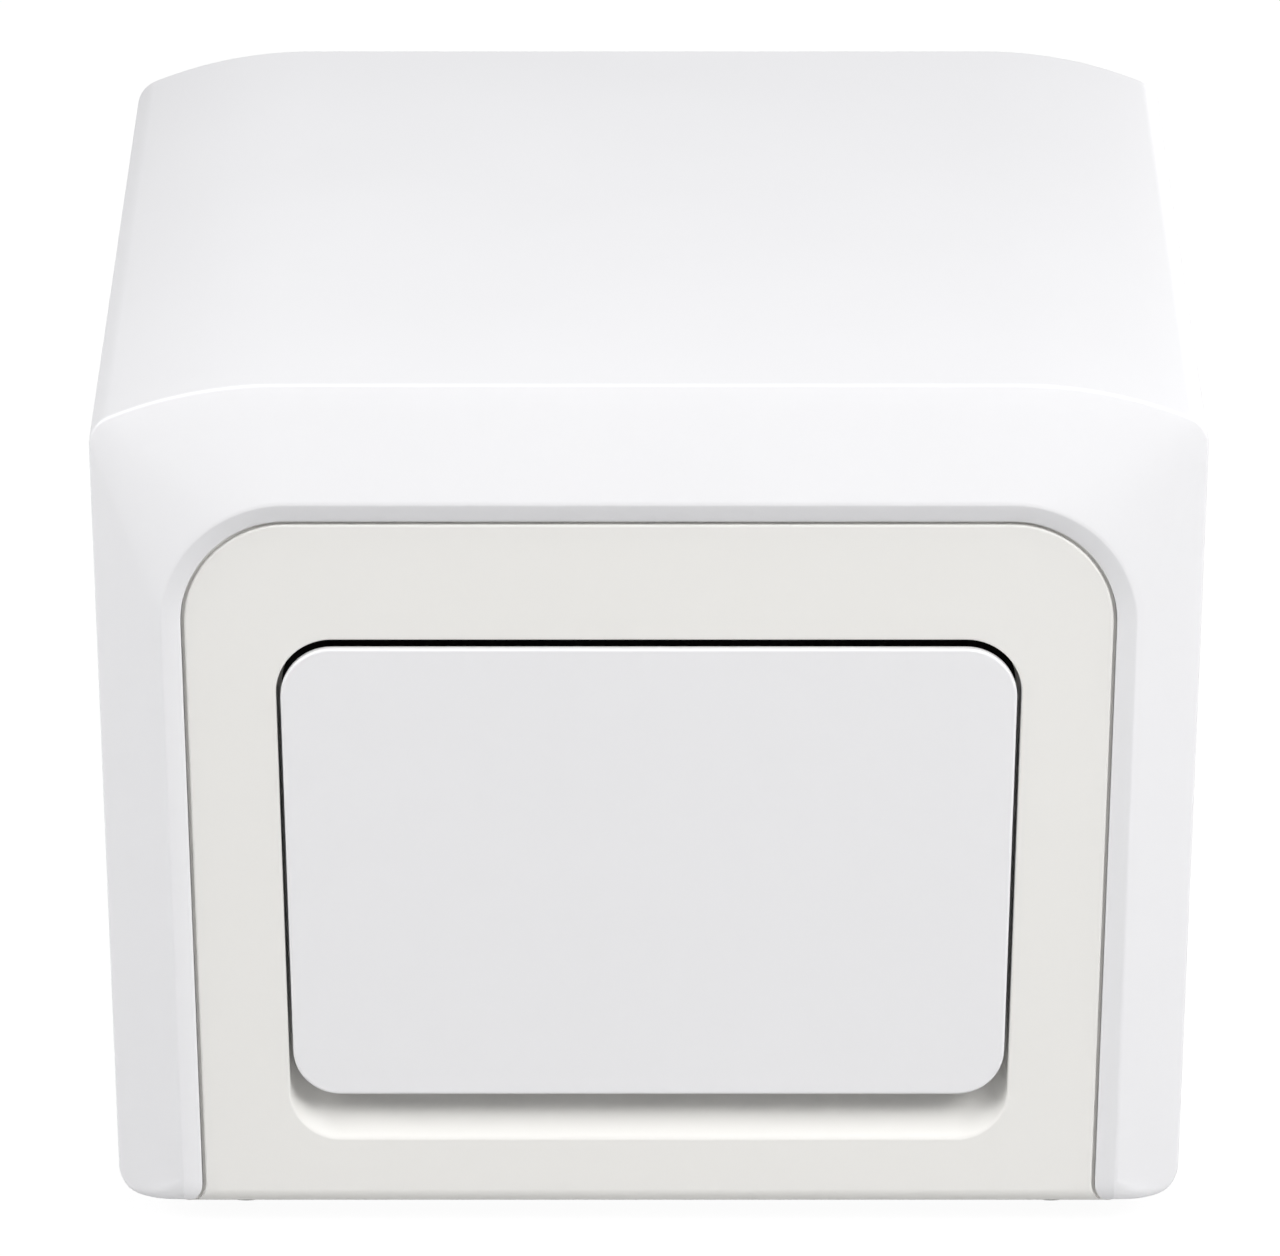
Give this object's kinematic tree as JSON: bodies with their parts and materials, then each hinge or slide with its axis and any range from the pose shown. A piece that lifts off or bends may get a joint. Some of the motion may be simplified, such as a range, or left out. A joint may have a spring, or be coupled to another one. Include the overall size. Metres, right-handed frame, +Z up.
{
  "type": "real-time pcr machine",
  "caption": "Bench thermal cycler with an arch-shaped white cover, a front drawer that carries the sample block, a heated lid and a scanning optical head inside.",
  "frame": {"origin": "bottom centre of the part, on the bench", "axes": "+Z up, -Y towards the drawer front, +X to the right as seen from the front"},
  "size_m": [0.38, 0.42, 0.303],
  "materials": {
    "shell": "satin white moulded plastic with a fine grain",
    "panel": "warm white moulded plastic with a fine grain",
    "drawer_white": "cool white moulded plastic",
    "black_plastic": "black moulded plastic",
    "seal_rubber": "soft black rubber",
    "zinc_sheet": "folded zinc-plated sheet",
    "rear_sheet": "powder-coated light grey sheet",
    "aluminium": "machined aluminium",
    "black_anodised": "black anodised aluminium",
    "block_silver": "silver-plated block",
    "bronze": "sintered bronze",
    "steel": "ground and plated steel",
    "board": "green solder mask",
    "ceramic": "white ceramic",
    "motor": "black painted laminations",
    "glass": "coated glass",
    "contact": "plated brass contacts",
    "rocker_black": "glossy black plastic"
  },
  "bodies": {
    "housing": {"arch_cover": "shell", "front_panel": "panel", "light_seal": "seal_rubber", "base_pan": "zinc_sheet", "feet": "seal_rubber", "rear_panel": "rear_sheet", "rear_screws": "steel", "chassis_left": "zinc_sheet", "chassis_right": "zinc_sheet", "rear_bulkhead": "zinc_sheet", "optics_deck": "aluminium", "channel_left": "zinc_sheet", "channel_right": "zinc_sheet", "catch_magnet": "black_plastic", "power_supply": "zinc_sheet", "main_board": "board", "driver_board": "board", "board_standoffs": "steel", "exhaust_fan_frame": "black_plastic", "fan_guard": "steel", "inlet_housing": "black_plastic", "inlet_pins": "contact", "switch_frame": "black_plastic", "network_socket": "steel", "data_socket": "steel", "lid_guide_pins": "steel", "lid_belt": "seal_rubber", "lid_motor": "motor", "rod_brackets": "aluminium", "guide_rods": "steel", "scan_motor": "motor", "idler_post": "steel", "scan_belt": "seal_rubber"},
    "drawer": {"drawer_front": "drawer_white", "drawer_tray": "zinc_sheet", "rail_left": "zinc_sheet", "rail_right": "zinc_sheet", "front_screws": "steel", "heat_sink": "aluminium", "thermoelectric_modules": "ceramic", "sample_block": "block_silver", "drawer_deck": "black_plastic", "catch_plate": "steel", "sink_fan_frames": "black_plastic"},
    "ball_cages": {"ball_cages": "steel"},
    "sink_rotor_left": {"sink_rotor_left": "black_plastic"},
    "sink_rotor_right": {"sink_rotor_right": "black_plastic"},
    "exhaust_rotor": {"exhaust_fan_rotor": "black_plastic"},
    "rocker": {"power_rocker": "rocker_black"},
    "lid": {"heated_plate": "aluminium", "lid_carrier": "black_anodised", "lid_bushes": "bronze"},
    "lid_screw_left": {"lid_screw_left": "steel"},
    "lid_screw_right": {"lid_screw_right": "steel"},
    "scanner": {"scan_head": "black_anodised", "scan_lenses": "glass", "scan_bushes": "bronze"},
    "drive_pulley": {"drive_pulley": "steel"},
    "idler_pulley": {"idler_pulley": "steel"}
  },
  "joints": [
    {"name": "drawer_slide", "type": "slide", "parent": "housing", "child": "drawer", "axis": [0, -1, 0], "range_m": [0, 0.2]},
    {"name": "cage_slide", "type": "slide", "parent": "housing", "child": "ball_cages", "axis": [0, -1, 0], "range_m": [0, 0.1]},
    {"name": "lid_press", "type": "slide", "parent": "housing", "child": "lid", "axis": [0, 0, -1], "range_m": [0, 0.011]},
    {"name": "lid_screw_left_spin", "type": "hinge", "parent": "housing", "child": "lid_screw_left", "pos_m": [-0.088, -0.0102, 0.20005], "axis": [0, 0, 1], "range_deg": [0, 500]},
    {"name": "lid_screw_right_spin", "type": "hinge", "parent": "housing", "child": "lid_screw_right", "pos_m": [0.088, -0.0102, 0.20005], "axis": [0, 0, 1], "range_deg": [0, 500]},
    {"name": "scan_slide", "type": "slide", "parent": "housing", "child": "scanner", "axis": [1, 0, 0], "range_m": [-0.0495, 0.0495]},
    {"name": "drive_pulley_spin", "type": "hinge", "parent": "housing", "child": "drive_pulley", "pos_m": [-0.094, 0.0178, 0.23905], "axis": [0, 0, 1], "range_deg": [-355, 355]},
    {"name": "idler_pulley_spin", "type": "hinge", "parent": "housing", "child": "idler_pulley", "pos_m": [0.094, 0.0178, 0.23905], "axis": [0, 0, 1], "range_deg": [-355, 355]},
    {"name": "exhaust_fan_spin", "type": "hinge", "parent": "housing", "child": "exhaust_rotor", "pos_m": [0, 0.19, 0.15255], "axis": [0, 1, 0], "continuous": true},
    {"name": "sink_fan_left_spin", "type": "hinge", "parent": "drawer", "child": "sink_rotor_left", "pos_m": [-0.03, 0.0051, 0.09705], "axis": [0, 1, 0], "continuous": true},
    {"name": "sink_fan_right_spin", "type": "hinge", "parent": "drawer", "child": "sink_rotor_right", "pos_m": [0.03, 0.0051, 0.09705], "axis": [0, 1, 0], "continuous": true},
    {"name": "power_switch", "type": "hinge", "parent": "housing", "child": "rocker", "pos_m": [-0.068, 0.201, 0.043], "axis": [1, 0, 0], "range_deg": [0, 16]}
  ],
  "couplings": [
    {"joint": "cage_slide", "follows": "drawer_slide", "ratio": 0.5},
    {"joint": "lid_screw_left_spin", "follows": "lid_press", "rad_per_m": 785.4},
    {"joint": "lid_screw_right_spin", "follows": "lid_press", "rad_per_m": 785.4},
    {"joint": "drive_pulley_spin", "follows": "scan_slide", "rad_per_m": 125},
    {"joint": "idler_pulley_spin", "follows": "scan_slide", "rad_per_m": 125}
  ]
}
